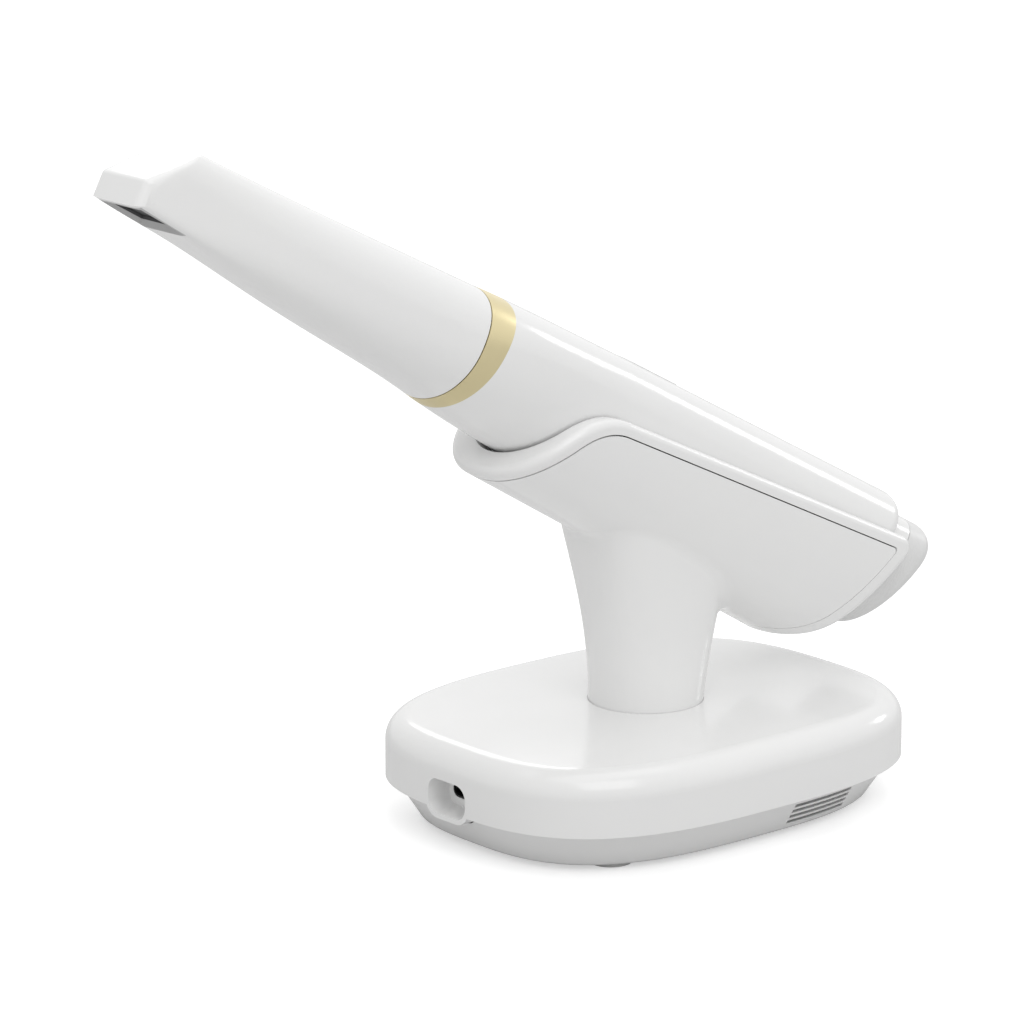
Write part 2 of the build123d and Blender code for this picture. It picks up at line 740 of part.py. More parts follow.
def inlet_pocket():
    """Tapered pocket of the power inlet."""
    corner = INLET_CORNER - INLET_TAPER / 2
    mouth = RectangleRounded(INLET_WIDTH, INLET_HEIGHT, INLET_CORNER)
    end = RectangleRounded(INLET_WIDTH - INLET_TAPER, INLET_HEIGHT - INLET_TAPER, corner)
    start = Pos(-BASE_HALF_LENGTH, 0, INLET_Z) * across(0, mouth)
    stop = Pos(INLET_DEPTH - BASE_HALF_LENGTH, 0, INLET_Z) * across(0, end)
    return loft([start, stop]) + extrude(start, -MERGE)


def socket_block(grow, x0, x1):
    """Obround block at the power socket."""
    slot = SlotOverall(SOCKET_WIDTH + 2 * grow, SOCKET_HEIGHT + 2 * grow)
    return extrude(Pos(0, 0, INLET_Z + SOCKET_RISE) * across(x0, slot), x1 - x0)


def column_screw_places():
    """Points of the screws that hold the column."""
    points = []
    for i in range(COLUMN_SCREW_COUNT):
        angle = 2 * pi * i / COLUMN_SCREW_COUNT
        points.append((COLUMN_SCREW_RING * cos(angle), COLUMN_SCREW_RING * sin(angle)))
    return points


def base_screw_places():
    """Points of the screws that join the two base covers."""
    return [(BASE_SCREW_X * i, BASE_SCREW_Y * j) for i, j in CORNERS]


def base_top_cover():
    """Upper shell with the column seat, the screw bosses and the moulded inlet pocket."""
    solid = upper_block(0, BASE_SPLIT)
    cover = solid - upper_block(BASE_WALL, BASE_SPLIT)
    cover += rod(SEAT_PLATE_RADIUS, SEAT_PLATE_Z, BASE_TOP - COLUMN_SEAT - MERGE)
    for x, y in base_screw_places():
        cover += rod(BOSS_RADIUS, BASE_SPLIT + BOSS_GAP, BASE_TOP - BASE_WALL, x, y)
        top = BASE_SCREW_SEAT + BASE_SCREW_LENGTH + MERGE
        cover -= rod(SCREW_RADIUS + SCREW_GAP, BASE_SPLIT, top, x, y)
    wall = upper_block(0, BASE_SPLIT - INLET_HEIGHT)
    cover += inlet_block(INLET_WALL, INLET_DEPTH + INLET_WALL) & wall
    cover -= inlet_pocket()
    cover -= socket_block(SOCKET_SHELL + SOCKET_GAP, INLET_DEPTH - BASE_HALF_LENGTH, JACK_X)
    cover -= rod(COLUMN_RADIUS + COLUMN_SEAT_GAP, COLUMN_Z, BASE_TOP + MERGE)
    for x, y in column_screw_places():
        cover -= rod(SCREW_RADIUS + SCREW_GAP, SEAT_PLATE_Z, BASE_TOP, x, y)
    return cover


def standoff_places():
    """Points where the base board stands on the lower cover."""
    return [(BASE_BOARD_HOLE_X * i, BASE_BOARD_HOLE_Y * j) for i, j in CORNERS]


def base_bottom_cover():
    """Lower shell with its lip, vents, foot recesses, screw bosses and standoffs."""
    solid = lower_block(0, FOOT_PROUD)
    solid = fillet(solid.faces().sort_by(Axis.Z)[0].edges(), LOWER_EDGE)
    cover = solid - lower_block(BASE_WALL, FLOOR)
    lip = base_outline(BASE_WALL + LIP_GAP, BASE_SPLIT - MERGE)
    lip -= base_outline(BASE_WALL + LOWER_STEP, BASE_SPLIT - MERGE)
    cover += extrude(lip, LIP_HEIGHT + MERGE)
    for x, y in base_screw_places():
        cover += rod(BOSS_RADIUS, FLOOR - MERGE, BASE_SPLIT, x, y)
        cover -= rod(SCREW_RADIUS + SCREW_GAP, 0, BASE_SPLIT, x, y)
        cover -= rod(SCREW_HEAD_RADIUS + HEAD_GAP, 0, BASE_SCREW_SEAT, x, y)
    for x, y in standoff_places():
        cover += rod(STANDOFF_RADIUS, FLOOR - MERGE, BASE_BOARD_Z, x, y)
        cover -= rod(SMALL_SCREW_RADIUS + SCREW_GAP, FLOOR, BASE_BOARD_Z, x, y)
    for i, j in CORNERS:
        cover -= rod(FOOT_RADIUS, 0, FOOT_PROUD + FOOT_SINK, FOOT_X * i, FOOT_Y * j)
    for i in range(VENT_COUNT):
        z = VENT_LOWEST + i * VENT_PITCH - VENT_WIDTH / 2
        start = VENT_X - VENT_LENGTH / 2
        cover -= bar(start, start + VENT_LENGTH, VENT_REACH, z, z + VENT_WIDTH, -BASE_HALF_WIDTH)
    return cover - inlet_block(INLET_WALL + INLET_GAP, INLET_DEPTH + INLET_WALL + INLET_GAP)


def foot(i, j):
    """One rubber foot."""
    return rod(FOOT_RADIUS - FOOT_GAP, 0, FOOT_PROUD + FOOT_SINK, FOOT_X * i, FOOT_Y * j)


def power_jack():
    """Flat socket behind the inlet pocket: its shell shows in the pocket, with a tongue inside."""
    front = INLET_DEPTH - BASE_HALF_LENGTH
    end = front + SOCKET_DEPTH
    top = BASE_BOARD_TOP + JACK_HEIGHT
    jack = bar(JACK_X, JACK_X + JACK_LENGTH, JACK_WIDTH / 2, BASE_BOARD_TOP, top)
    jack += socket_block(SOCKET_SHELL, front, JACK_X)
    jack -= socket_block(0, front, end)
    middle = INLET_Z + SOCKET_RISE
    half = TONGUE_THICKNESS / 2
    return jack + bar(front + TONGUE_SETBACK, end, TONGUE_WIDTH / 2, middle - half, middle + half)


def depth_at(x):
    """Depth of the cradle's underside below the scanner's axis."""
    share = (x - CRADLE_FRONT) / (CRADLE_REAR - CRADLE_FRONT)
    return CRADLE_DEPTH_FRONT + share * (CRADLE_DEPTH_REAR - CRADLE_DEPTH_FRONT)


def cradle_form(inset):
    """U-shaped outside of the cradle, drawn in by a distance."""
    half = CRADLE_HALF_WIDTH - inset
    sections = []
    for x in (CRADLE_FRONT - OVERRUN, CRADLE_REAR + OVERRUN):
        sections.append(across(x, oval(half, half, depth_at(x) - inset, CRADLE_POWER, CRADLE_POWER)))
    return loft(sections)


def under_point(x, z, lean):
    """Point under the cradle on a leaning edge that starts at a rim corner."""
    sink = (CRADLE_DEPTH_REAR - CRADLE_DEPTH_FRONT) / (CRADLE_REAR - CRADLE_FRONT)
    low = (x - lean * (z + CRADLE_UNDER + depth_at(0))) / (1 + lean * sink)
    return (low, -depth_at(low) - CRADLE_UNDER)


def cradle_side(front_in, rim_in, rear_in, rear_corner):
    """Side outline of the cradle, drawn in from its leaning front, its rim and its leaning rear."""
    front = CRADLE_FRONT + front_in
    rear = CRADLE_REAR - rear_in
    slope = (RIM_REAR - RIM_FRONT) / (CRADLE_REAR - CRADLE_FRONT)
    front_z = RIM_FRONT - rim_in + slope * front_in
    rear_z = RIM_REAR - rim_in - slope * rear_in
    points = [
        under_point(front, front_z, FRONT_LEAN),
        (front, front_z),
        (rear, rear_z),
        under_point(rear, rear_z, END_LEAN),
    ]
    return side_prism(points, [0, RIM_CORNER - rim_in, rear_corner, CRADLE_HEEL])


def trough_form(grow):
    """Space for the handle in the cradle, grown by a distance and flared at the front lip."""
    stations = (
        (0.0, RING_HALF_WIDTH + LIP_SIDE, RING_BOTTOM + LIP_FLARE),
        (BELLY_X, BELLY_HALF_WIDTH + LIP_SIDE, BELLY_BOTTOM + LIP_FLARE),
        (WAIST_X, WAIST_HALF_WIDTH + LIP_SIDE, WAIST_BOTTOM + LIP_FLARE),
        (GRIP_X, GRIP_HALF_WIDTH + TRAY_GAP, GRIP_BOTTOM + TRAY_GAP),
        (REAR_X, REAR_HALF_WIDTH + TRAY_GAP, REAR_BOTTOM + TRAY_GAP),
    )
    sections = []
    for x, half_width, bottom in stations:
        face = oval(half_width + grow, TROUGH_TOP, bottom + grow, TOP_POWER, BOTTOM_POWER)
        sections.append(across(x, face))
    return front_and_grip(sections)


def tray_screw_seat(x):
    """Height of the underside of a tray screw's head."""
    bottom = grip_at(x)[1]
    return -bottom - TRAY_GAP - TRAY_SCREW_SUNK - SCREW_HEAD


def cradle_tray():
    """Trough with the smooth rim band and a thin liner under the handle."""
    block = cradle_form(0) & cradle_side(0, 0, 0, RIM_REAR_CORNER)
    rim_edges = [e for e in block.edges() if e.geom_type != GeomType.LINE]
    block = fillet(rim_edges, RIM_ROUND)
    liner = trough_form(TRAY_WALL) & cradle_form(PANEL_WALL + SEAM_GAP)
    for x in TRAY_SCREW_X:
        seat = tray_screw_seat(x)
        liner += rod(TRAY_BOSS_RADIUS, seat - TRAY_BOSS_FLOOR, seat + SCREW_HEAD, x)
    band = (BAND_FRONT - SEAM_GAP, BAND_RIM - SEAM_GAP, BAND_REAR - SEAM_GAP)
    hollow = cradle_side(*band, SEAM_REAR_CORNER)
    tray = block - (hollow - liner) - trough_form(0)
    for x in TRAY_SCREW_X:
        seat = tray_screw_seat(x)
        tray -= rod(SCREW_RADIUS + SCREW_GAP, seat - TRAY_BOSS_FLOOR, seat, x)
        tray -= rod(SCREW_HEAD_RADIUS + HEAD_GAP, seat, 0, x)
    return tray


def tray_screws():
    """Screws that hold the tray to the panel."""
    turned = Rot(180, 0, 0) * screw(SCREW_RADIUS, SCREW_HEAD_RADIUS, SCREW_HEAD, TRAY_SCREW_LENGTH)
    return Compound(children=[Pos(x, 0, tray_screw_seat(x)) * turned for x in TRAY_SCREW_X])


def column_form(inset):
    """Outside of the column, drawn in by a distance."""
    sections = []
    foot_station = (COLUMN_Z, COLUMN_RADIUS, COLUMN_RADIUS, BOTTOM_POWER, 0.0)
    stations = (foot_station, COLUMN_WAIST, COLUMN_RISE, COLUMN_FLARE, COLUMN_HEAD)
    for z, half_x, half_y, power, shift in stations:
        face = oval(half_x - inset, half_y - inset, half_y - inset, power, power)
        sections.append(Pos(shift, 0, z) * face)
    return loft(sections)


def stand_column():
    """Hollow column blended into the outer skin of the cradle, with the bosses for the tray."""
    above = in_place(bar(-FAR, 4 * FAR, FAR, COLUMN_CUT, 2 * FAR))
    panel = cradle_form(0) & cradle_side(BAND_FRONT, BAND_RIM, BAND_REAR, SEAM_REAR_CORNER)
    column = column_form(0) - above + in_place(panel)
    column = fillet(column.edges().sort_by(SortBy.LENGTH)[-1], COLUMN_BLEND)
    core = column_form(COLUMN_WALL) - in_place(cradle_form(0)) - above
    core -= rod(FAR, 0, COLUMN_Z + COLUMN_PLUG)
    column = column - core - in_place(cradle_form(PANEL_WALL))
    for x in TRAY_SCREW_X:
        seat = tray_screw_seat(x)
        top = seat - TRAY_BOSS_FLOOR
        column += in_place(rod(TRAY_BOSS_RADIUS, PANEL_WALL / 2 - depth_at(x), top, x))
        column -= in_place(rod(SCREW_RADIUS + SCREW_GAP, seat - TRAY_SCREW_LENGTH - SCREW_GAP, top, x))
    for x, y in column_screw_places():
        top = SEAT_PLATE_Z + COLUMN_SCREW_LENGTH + SCREW_GAP
        column -= rod(SCREW_RADIUS + SCREW_GAP, COLUMN_Z, top, x, y)
    return column


def column_screws():
    """Screws from under the base top into the column."""
    part = screw(SCREW_RADIUS, SCREW_HEAD_RADIUS, SCREW_HEAD, COLUMN_SCREW_LENGTH)
    return Compound(children=[Pos(x, y, SEAT_PLATE_Z) * part for x, y in column_screw_places()])


def base_screws():
    """Screws that join the two base covers."""
    part = screw(SCREW_RADIUS, SCREW_HEAD_RADIUS, SCREW_HEAD, BASE_SCREW_LENGTH)
    return Compound(children=[Pos(x, y, BASE_SCREW_SEAT) * part for x, y in base_screw_places()])


def ballast_plate():
    """Steel plate on the floor of the base."""
    outline = RectangleRounded(BALLAST_LENGTH, BALLAST_WIDTH, BALLAST_CORNER)
    plate = extrude(Pos(0, 0, FLOOR) * outline, BALLAST_THICKNESS)
    for x, y in standoff_places():
        plate -= rod(STANDOFF_RADIUS + BALLAST_GAP, FLOOR, FLOOR + BALLAST_THICKNESS, x, y)
    return plate


def base_circuit_board():
    """Board of the base, with a tongue under the power jack."""
    half = BASE_BOARD_LENGTH / 2
    board = bar(-half, half, BASE_BOARD_WIDTH / 2, BASE_BOARD_Z, BASE_BOARD_TOP)
    board += bar(JACK_X + TONGUE_GAP, -half, JACK_WIDTH / 2, BASE_BOARD_Z, BASE_BOARD_TOP)
    for x, y in standoff_places():
        board -= rod(SMALL_SCREW_RADIUS + SCREW_GAP, BASE_BOARD_Z, BASE_BOARD_TOP, x, y)
    return board


def board_screws():
    """Screws of the base board."""
    turned = Rot(180, 0, 0) * screw(SMALL_SCREW_RADIUS, SMALL_HEAD_RADIUS, SMALL_HEAD, SMALL_SCREW_LENGTH)
    return Compound(children=[Pos(x, y, BASE_BOARD_TOP) * turned for x, y in standoff_places()])


def receiver_module():
    """Shielded radio module on the base board."""
    start = RECEIVER_X - RECEIVER_LENGTH / 2
    top = BASE_BOARD_TOP + RECEIVER_HEIGHT
    return bar(start, start + RECEIVER_LENGTH, RECEIVER_WIDTH / 2, BASE_BOARD_TOP, top, RECEIVER_Y)


def power_inductor():
    """Power inductor on the base board."""
    outline = RectangleRounded(INDUCTOR_SIZE, INDUCTOR_SIZE, INDUCTOR_CORNER)
    return extrude(Pos(INDUCTOR_X, INDUCTOR_Y, BASE_BOARD_TOP) * outline, INDUCTOR_HEIGHT)


def capacitors():
    """Row of capacitors on the base board."""
    top = BASE_BOARD_TOP + CAPACITOR_HEIGHT
    cans = []
    for i in range(CAPACITOR_COUNT):
        x = CAPACITOR_X + i * CAPACITOR_PITCH
        cans.append(rod(CAPACITOR_RADIUS, BASE_BOARD_TOP, top, x, CAPACITOR_Y))
    return Compound(children=cans)


def heat_sink():
    """Finned block behind the vents."""
    start = VENT_X - SINK_LENGTH / 2
    end = start + SINK_LENGTH
    sink = bar(start, end, SINK_WIDTH / 2, BASE_BOARD_TOP, BASE_BOARD_TOP + SINK_BASE, SINK_Y)
    for i in range(FIN_COUNT):
        y = SINK_Y + (i / (FIN_COUNT - 1) - 0.5) * (SINK_WIDTH - FIN_THICKNESS)
        sink += bar(start, end, FIN_THICKNESS / 2, BASE_BOARD_TOP, BASE_BOARD_TOP + SINK_HEIGHT, y)
    return sink


projector_lens, right_camera_lens, left_camera_lens = lens_rods(0)

SCANNER = {
    "scan_tip": scan_tip(),
    "tip_liner": tip_liner(),
    "tip_mirror": tip_mirror(),
    "trim_ring": trim_ring(),
    "handle_housing": handle_housing(),
    "battery_sleeve": battery_sleeve(),
    "battery_contacts": battery_contacts(),
    "battery_cap": battery_cap(),
    "battery_cell": battery_cell(),
    "optical_nose": optical_nose(),
    "nose_window": nose_window(),
    "optical_bench": optical_bench(),
    "projector_module": projector_module(),
    "projector_lens": projector_lens,
    "right_camera": camera_block(-CAMERA_Y),
    "right_camera_lens": right_camera_lens,
    "left_camera": camera_block(CAMERA_Y),
    "left_camera_lens": left_camera_lens,
    "main_circuit_board": main_circuit_board(),
    "bench_screws": bench_screws(),
    "image_processor": image_processor(),
    "heat_spreader": heat_spreader(),
    "button_switch": button_switch(),
    "scan_button": scan_button(),
    "status_light": status_light(),
    "cradle_tray": cradle_tray(),
    "tray_screws": tray_screws(),
}

STAND = {
    "base_top_cover": base_top_cover(),
    "base_bottom_cover": base_bottom_cover(),
    "front_left_foot": foot(-1, 1),
    "front_right_foot": foot(-1, -1),
    "rear_left_foot": foot(1, 1),
    "rear_right_foot": foot(1, -1),
    "power_jack": power_jack(),
    "stand_column": stand_column(),
    "column_screws": column_screws(),
    "base_screws": base_screws(),
    "ballast_plate": ballast_plate(),
    "base_circuit_board": base_circuit_board(),
    "board_screws": board_screws(),
    "receiver_module": receiver_module(),
    "power_inductor": power_inductor(),
    "capacitors": capacitors(),
    "heat_sink": heat_sink(),
}

os.makedirs("parts", exist_ok=True)
for name, solid in SCANNER.items():
    export_step(in_place(solid), f"parts/{name}.step")
for name, solid in STAND.items():
    export_step(solid, f"parts/{name}.step")
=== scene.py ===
import json
import math

import bpy
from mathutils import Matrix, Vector


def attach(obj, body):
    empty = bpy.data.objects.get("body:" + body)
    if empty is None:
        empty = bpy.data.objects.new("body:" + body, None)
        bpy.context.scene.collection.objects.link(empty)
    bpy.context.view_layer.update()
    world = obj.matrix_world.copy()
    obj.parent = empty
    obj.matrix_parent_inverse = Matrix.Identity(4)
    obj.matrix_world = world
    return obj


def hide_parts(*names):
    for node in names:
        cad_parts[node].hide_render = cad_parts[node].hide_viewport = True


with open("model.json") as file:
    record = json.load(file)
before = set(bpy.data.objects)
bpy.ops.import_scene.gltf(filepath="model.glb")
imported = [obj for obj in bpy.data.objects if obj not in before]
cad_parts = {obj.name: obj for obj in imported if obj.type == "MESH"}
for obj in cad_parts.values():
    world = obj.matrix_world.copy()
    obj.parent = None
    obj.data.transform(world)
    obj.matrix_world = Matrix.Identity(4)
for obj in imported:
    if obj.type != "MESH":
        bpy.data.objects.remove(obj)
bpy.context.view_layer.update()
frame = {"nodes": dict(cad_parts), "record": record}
nodes = frame["nodes"]

MM = 0.001
# The scanner's own frame: its origin at the front of the trim ring, and how far its axis drops to the rear
SCAN_X = -63.75 * MM
SCAN_Z = 124.54 * MM
SCAN_TILT = math.radians(28.3)
# A Mapping node with this turn and shift gives places along, across and above the scanner's axis
SCAN_TURN = (0, -SCAN_TILT, 0)
SCAN_SHIFT = (
    math.sin(SCAN_TILT) * SCAN_Z - math.cos(SCAN_TILT) * SCAN_X,
    0,
    -math.sin(SCAN_TILT) * SCAN_X - math.cos(SCAN_TILT) * SCAN_Z,
)
scanner_up = Vector((math.sin(SCAN_TILT), 0, math.cos(SCAN_TILT)))
scanner_back = Vector((math.cos(SCAN_TILT), 0, -math.sin(SCAN_TILT)))

# The scan tip's window in that frame: the middle and the half sizes of its bevel, and the height it ends below
WINDOW_MIDDLE = -90.95 * MM
WINDOW_HALF_LENGTH = 7.0 * MM
WINDOW_HALF_WIDTH = 8.35 * MM
WINDOW_CEILING = -0.5 * MM
# The dark shade painted in the window starts two thirds of the way up the bevel, which is higher towards the
# nose:
# its edge as a line along the axis, by its height at the ring and its slope
DARK_SHADE_HEIGHT = -7.3 * MM
DARK_SHADE_SLOPE = -0.027

# Length of one period of a wave texture at a scale of 1
WAVE_PERIOD = math.tau / 20


def colour(text):
    """An sRGB hex colour in linear light."""
    channels = [int(text[i:i + 2], 16) / 255 for i in (0, 2, 4)]
    return [c / 12.92 if c <= 0.04045 else ((c + 0.055) / 1.055) ** 2.4 for c in channels] + [1]


def add_node(tree, kind, inputs, **settings):
    """Adds a node with its settings; each input is a value or the socket that feeds it."""
    node = tree.nodes.new("ShaderNode" + kind)
    for name, value in settings.items():
        setattr(node, name, value)
    for name, value in inputs.items():
        if isinstance(value, bpy.types.NodeSocket):
            tree.links.new(value, node.inputs[name])
        else:
            node.inputs[name].default_value = value
    return node


def new_finish(name):
    """A material with its shader and Object coordinates, ready for its own nodes."""
    finish = bpy.data.materials.new(name)
    finish.use_nodes = True
    tree = finish.node_tree
    place = add_node(tree, "TexCoord", {}).outputs["Object"]
    return finish, tree, tree.nodes["Principled BSDF"], place


# Finishes, each named for what the real one is, the scan tip's also for the shade painted in its window

def glossy_white_abs():
    """ABS from a polished mould: even white, a soft gloss, and the faint ripple of a moulded skin."""
    finish, tree, shader, place = new_finish("glossy_white_abs")
    cloud = add_node(tree, "TexNoise", {"Vector": place, "Scale": 1 / (50 * MM), "Detail": 2})
    tint = add_node(tree, "Mix", {"Factor": cloud.outputs["Fac"], "A": colour("F5F5F4"),
                                  "B": colour("F1F1F1")}, data_type="RGBA")
    wipe = add_node(tree, "TexNoise", {"Vector": place, "Scale": 1 / (12 * MM), "Detail": 3})
    gloss = add_node(tree, "MapRange", {"Value": wipe.outputs["Fac"], "To Min": 0.12, "To Max": 0.20})
    ripple = add_node(tree, "TexNoise", {"Vector": place, "Scale": 1 / (7 * MM), "Detail": 1})
    skin = add_node(tree, "Bump", {"Height": ripple.outputs["Fac"], "Distance": 0.012 * MM})
    tree.links.new(tint.outputs["Result"], shader.inputs["Base Color"])
    tree.links.new(gloss.outputs["Result"], shader.inputs["Roughness"])
    tree.links.new(skin.outputs["Normal"], shader.inputs["Normal"])
    shader.inputs["IOR"].default_value = 1.52
    return finish


def tip_abs_with_painted_shade():
    """The scan tip's ABS: the same gloss, with shade painted in its window, matt: mid grey on the bevel's
    lower part and dark grey-black above that.
    """
    finish = glossy_white_abs()
    finish.name = "white_abs_with_painted_window_shade"
    tree = finish.node_tree
    shader = tree.nodes["Principled BSDF"]
    white = shader.inputs["Base Color"].links[0].from_socket
    gloss = shader.inputs["Roughness"].links[0].from_socket
    place = add_node(tree, "TexCoord", {}).outputs["Object"]
    scanner = add_node(tree, "Mapping", {"Vector": place, "Rotation": SCAN_TURN, "Location": SCAN_SHIFT})
    spot = add_node(tree, "SeparateXYZ", {"Vector": scanner.outputs["Vector"]})
    # The window's bevel, where shade is painted, found by place along, across and above the scanner's axis
    in_length = add_node(tree, "Math", {0: spot.outputs["X"], 1: WINDOW_MIDDLE, 2: WINDOW_HALF_LENGTH},
                         operation="COMPARE")
    in_width = add_node(tree, "Math", {0: spot.outputs["Y"], 1: 0, 2: WINDOW_HALF_WIDTH}, operation="COMPARE")
    below = add_node(tree, "Math", {0: spot.outputs["Z"], 1: WINDOW_CEILING}, operation="LESS_THAN")
    in_plan = add_node(tree, "Math", {0: in_length.outputs["Value"], 1: in_width.outputs["Value"]},
                       operation="MULTIPLY")
    window = add_node(tree, "Math", {0: in_plan.outputs["Value"], 1: below.outputs["Value"]},
                      operation="MULTIPLY")
    # Painted shade: above this edge the window is painted dark, below it mid grey
    dark_shade_edge = add_node(tree, "Math", {0: spot.outputs["X"], 1: DARK_SHADE_SLOPE, 2: DARK_SHADE_HEIGHT},
                         operation="MULTIPLY_ADD")
    coat = add_node(tree, "Math", {0: spot.outputs["Z"], 1: dark_shade_edge.outputs["Value"]},
                    operation="GREATER_THAN")
    # Painted shade colours: mid grey on the bevel, dark grey-black above its edge
    painted_window_shade = add_node(tree, "Mix", {"Factor": coat.outputs["Value"], "A": colour("BEBEBE"),
                                    "B": colour("303032")}, data_type="RGBA")
    tint = add_node(tree, "Mix", {"Factor": window.outputs["Value"], "A": white,
                                  "B": painted_window_shade.outputs["Result"]}, data_type="RGBA")
    dull = add_node(tree, "Mix", {"Factor": window.outputs["Value"], "A": gloss, "B": 0.6})
    tree.links.new(tint.outputs["Result"], shader.inputs["Base Color"])
    tree.links.new(dull.outputs["Result"], shader.inputs["Roughness"])
    return finish


def ribbed_white_abs():
    """The battery's grip end: the same ABS, duller, with fine moulded ribs round the scanner's axis."""
    finish, tree, shader, place = new_finish("ribbed_white_abs")
    cloud = add_node(tree, "TexNoise", {"Vector": place, "Scale": 1 / (20 * MM), "Detail": 2})
    tint = add_node(tree, "Mix", {"Factor": cloud.outputs["Fac"], "A": colour("E9E9E8"),
                                  "B": colour("E3E3E3")}, data_type="RGBA")
    grit = add_node(tree, "TexNoise", {"Vector": place, "Scale": 1 / (1.5 * MM), "Detail": 3})
    gloss = add_node(tree, "MapRange", {"Value": grit.outputs["Fac"], "To Min": 0.28, "To Max": 0.40})
    along = add_node(tree, "Mapping", {"Vector": place, "Rotation": SCAN_TURN})
    # One rib each 0.9 mm
    ribs = add_node(tree, "TexWave", {"Vector": along.outputs["Vector"], "Scale": WAVE_PERIOD / (0.9 * MM),
                                      "Distortion": 0}, bands_direction="X")
    skin = add_node(tree, "Bump", {"Height": ribs.outputs["Fac"], "Distance": 0.03 * MM})
    tree.links.new(tint.outputs["Result"], shader.inputs["Base Color"])
    tree.links.new(gloss.outputs["Result"], shader.inputs["Roughness"])
    tree.links.new(skin.outputs["Normal"], shader.inputs["Normal"])
    shader.inputs["IOR"].default_value = 1.52
    return finish


def satin_white_abs():
    """The scan button's ABS, from a finely etched mould: the same white, with a dull even grain."""
    finish, tree, shader, place = new_finish("satin_white_abs")
    cloud = add_node(tree, "TexNoise", {"Vector": place, "Scale": 1 / (15 * MM), "Detail": 2})
    tint = add_node(tree, "Mix", {"Factor": cloud.outputs["Fac"], "A": colour("F3F3F3"),
                                  "B": colour("EFEFEF")}, data_type="RGBA")
    grain = add_node(tree, "TexNoise", {"Vector": place, "Scale": 1 / (0.4 * MM), "Detail": 2})
    gloss = add_node(tree, "MapRange", {"Value": grain.outputs["Fac"], "To Min": 0.36, "To Max": 0.48})
    skin = add_node(tree, "Bump", {"Height": grain.outputs["Fac"], "Distance": 0.02 * MM})
    tree.links.new(tint.outputs["Result"], shader.inputs["Base Color"])
    tree.links.new(gloss.outputs["Result"], shader.inputs["Roughness"])
    tree.links.new(skin.outputs["Normal"], shader.inputs["Normal"])
    shader.inputs["IOR"].default_value = 1.52
    return finish


def champagne_anodised_aluminium():
    """Turned, blasted and dyed aluminium: pale gold, satin, with fine rings left by the turning."""
    finish, tree, shader, place = new_finish("champagne_anodised_aluminium")
    cloud = add_node(tree, "TexNoise", {"Vector": place, "Scale": 1 / (18 * MM), "Detail": 2})
    tint = add_node(tree, "Mix", {"Factor": cloud.outputs["Fac"], "A": colour("E6DAB2"),
                                  "B": colour("DBCEA3")}, data_type="RGBA")
    blast = add_node(tree, "TexNoise", {"Vector": place, "Scale": 1 / (0.6 * MM), "Detail": 2})
    gloss = add_node(tree, "MapRange", {"Value": blast.outputs["Fac"], "To Min": 0.30, "To Max": 0.40})
    along = add_node(tree, "Mapping", {"Vector": place, "Rotation": SCAN_TURN})
    # Real turning marks are about 0.1 mm apart: drawn 0.4 mm apart so that they show
    rings = add_node(tree, "TexWave", {"Vector": along.outputs["Vector"], "Scale": WAVE_PERIOD / (0.4 * MM),
                                       "Distortion": 0.4}, bands_direction="X")
    skin = add_node(tree, "Bump", {"Height": rings.outputs["Fac"], "Distance": 0.004 * MM})
    tree.links.new(tint.outputs["Result"], shader.inputs["Base Color"])
    tree.links.new(gloss.outputs["Result"], shader.inputs["Roughness"])
    tree.links.new(skin.outputs["Normal"], shader.inputs["Normal"])
    shader.inputs["Metallic"].default_value = 1
    return finish


def grey_silicone_rubber():
    """Moulded silicone feet: pale grey and dull, with a finely pitted skin."""
    finish, tree, shader, place = new_finish("grey_silicone_rubber")
    cloud = add_node(tree, "TexNoise", {"Vector": place, "Scale": 1 / (3 * MM), "Detail": 2})
    tint = add_node(tree, "Mix", {"Factor": cloud.outputs["Fac"], "A": colour("D8D8D7"),
                                  "B": colour("CDCDCC")}, data_type="RGBA")
    pits = add_node(tree, "TexNoise", {"Vector": place, "Scale": 1 / (0.4 * MM), "Detail": 2})
    gloss = add_node(tree, "MapRange", {"Value": pits.outputs["Fac"], "To Min": 0.58, "To Max": 0.75})
    skin = add_node(tree, "Bump", {"Height": pits.outputs["Fac"], "Distance": 0.03 * MM})
    tree.links.new(tint.outputs["Result"], shader.inputs["Base Color"])
    tree.links.new(gloss.outputs["Result"], shader.inputs["Roughness"])
    tree.links.new(skin.outputs["Normal"], shader.inputs["Normal"])
    shader.inputs["IOR"].default_value = 1.41
    return finish


def filled_nylon(name, light, dark, dull):
    """Glass-filled nylon for inner mouldings: matt, with the flow of its short fibres just showing."""
    finish, tree, shader, place = new_finish(name)
    flow = add_node(tree, "TexNoise", {"Vector": place, "Scale": 1 / (2 * MM), "Detail": 4, "Distortion": 1})
    tint = add_node(tree, "Mix", {"Factor": flow.outputs["Fac"], "A": colour(light), "B": colour(dark)},
                    data_type="RGBA")
    fibre = add_node(tree, "TexNoise", {"Vector": place, "Scale": 1 / (0.35 * MM), "Detail": 2})
    gloss = add_node(tree, "MapRange", {"Value": fibre.outputs["Fac"], "To Min": dull, "To Max": dull + 0.14})
    skin = add_node(tree, "Bump", {"Height": fibre.outputs["Fac"], "Distance": 0.015 * MM})
    tree.links.new(tint.outputs["Result"], shader.inputs["Base Color"])
    tree.links.new(gloss.outputs["Result"], shader.inputs["Roughness"])
    tree.links.new(skin.outputs["Normal"], shader.inputs["Normal"])
    shader.inputs["IOR"].default_value = 1.53
    return finish


